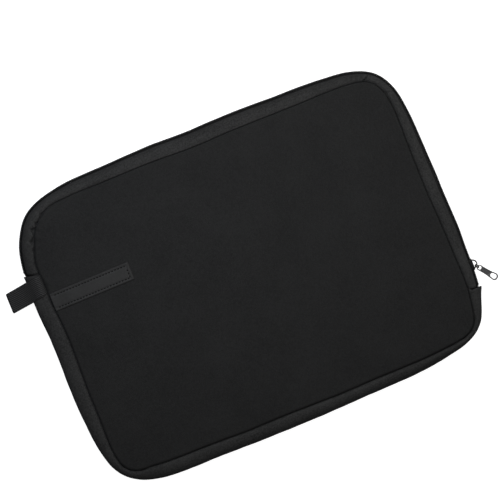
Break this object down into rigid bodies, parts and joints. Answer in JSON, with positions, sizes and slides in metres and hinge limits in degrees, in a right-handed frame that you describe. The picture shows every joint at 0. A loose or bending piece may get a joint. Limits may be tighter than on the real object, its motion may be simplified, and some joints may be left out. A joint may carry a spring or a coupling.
{
  "type": "laptop sleeve",
  "caption": "Padded soft sleeve for a laptop, with rounded corners, a zip round three sides, a webbing hang loop and a plain sewn patch.",
  "frame": {"origin": "centre of the flat back panel's outer face", "axes": "+X along the long side away from the hang loop, +Y across the panel towards the zipped top edge, +Z out of the front panel"},
  "size_m": [0.4307, 0.2917, 0.0299],
  "materials": {
    "knit_face": "black nylon jersey bonded to foam, matt",
    "gusset_fabric": "black knit-faced foam, matt",
    "foam_core": "closed-cell foam",
    "lining_knit": "brushed tricot",
    "zip_tape": "woven polyester tape",
    "zip_coil": "nylon coil",
    "zip_metal": "gunmetal plating on zinc",
    "binding_tape": "woven polyester binding",
    "webbing": "twill webbing",
    "patch_leather": "smooth synthetic leather, slightly glossy",
    "thread": "polyester thread"
  },
  "bodies": {
    "sleeve": {"back_foam": "foam_core", "back_lining": "lining_knit", "back_seam_binding": "binding_tape", "back_shell": "knit_face", "back_zip_coil": "zip_coil", "back_zip_gusset": "gusset_fabric", "back_zip_stop": "zip_metal", "back_zip_tape": "zip_tape", "base_gusset": "gusset_fabric", "front_foam_base": "foam_core", "front_lining_base": "lining_knit", "front_seam_binding_base": "binding_tape", "front_shell_base": "knit_face", "front_zip_coil_end": "zip_coil", "front_zip_gusset_end": "gusset_fabric", "front_zip_tape_end": "zip_tape", "hang_loop": "webbing", "label_patch": "patch_leather", "label_stitching": "thread", "zip_end_clamp": "zip_metal"},
    "front_flap": {"front_foam_flap": "foam_core", "front_lining_flap": "lining_knit", "front_seam_binding_flap": "binding_tape", "front_shell_flap": "knit_face", "front_zip_coil_flap": "zip_coil", "front_zip_gusset_flap": "gusset_fabric", "front_zip_stop": "zip_metal", "front_zip_tape_flap": "zip_tape"},
    "slider": {"slider_body": "zip_metal"},
    "pull_link": {"pull_link": "zip_metal"},
    "pull_tab": {"pull_tab": "zip_metal"}
  },
  "joints": [
    {"name": "mouth_fold", "type": "hinge", "parent": "sleeve", "child": "front_flap", "pos_m": [0, 0.035, 0.028], "axis": [0.9765, -0.2153, 0], "range_deg": [0, 75]},
    {"name": "zip_slide", "type": "slide", "parent": "sleeve", "child": "slider", "axis": [0, 1, 0], "range_m": [-0.004, 0.146]},
    {"name": "pull_swing", "type": "hinge", "parent": "slider", "child": "pull_link", "pos_m": [0.19568, -0.0708, 0.014], "axis": [0, 0, 1], "range_deg": [-8, 108]},
    {"name": "pull_lift", "type": "hinge", "parent": "pull_link", "child": "pull_tab", "pos_m": [0.199, -0.07506, 0.014], "axis": [-0.788, -0.6157, 0], "range_deg": [0, 70]}
  ]
}
